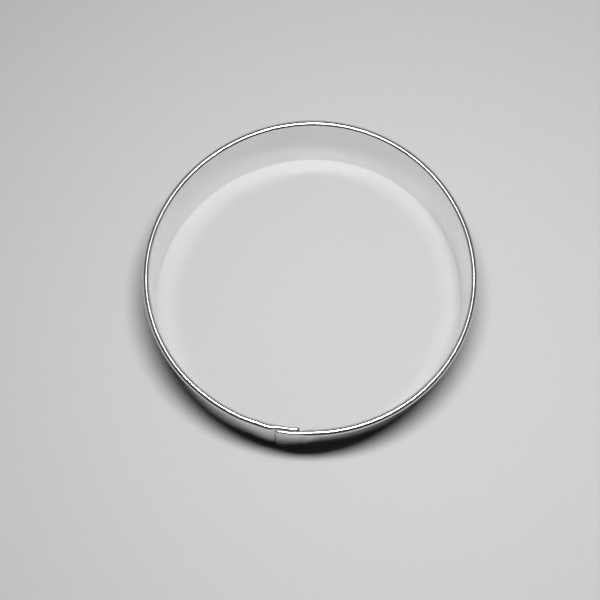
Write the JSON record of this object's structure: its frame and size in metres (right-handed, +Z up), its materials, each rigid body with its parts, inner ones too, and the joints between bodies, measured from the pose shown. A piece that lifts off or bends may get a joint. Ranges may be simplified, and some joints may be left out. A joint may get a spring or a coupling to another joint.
{
  "type": "biscuit cutter",
  "caption": "Round tinplate biscuit cutter: a shallow ring with a rolled safety rim, a plain cutting edge and a lapped, spot-welded seam.",
  "frame": {"origin": "centre of the ring, on the plane of the cutting edge that it rests on", "axes": "+Z up from the cutting edge to the rolled rim, -Y to the front where the lap is, +X to the right"},
  "size_m": [0.0888, 0.0888, 0.0238],
  "materials": {
    "tinplate": "bright satin tinplate, faint rolling lines along the strip, light hazing and fine handling marks",
    "weld_metal": "dull grey resistance weld with a faint straw heat tint at its rim"
  },
  "bodies": {
    "root": {"tinplate_band": "tinplate", "spot_weld_lower": "weld_metal", "spot_weld_middle": "weld_metal", "spot_weld_upper": "weld_metal"}
  },
  "joints": []
}
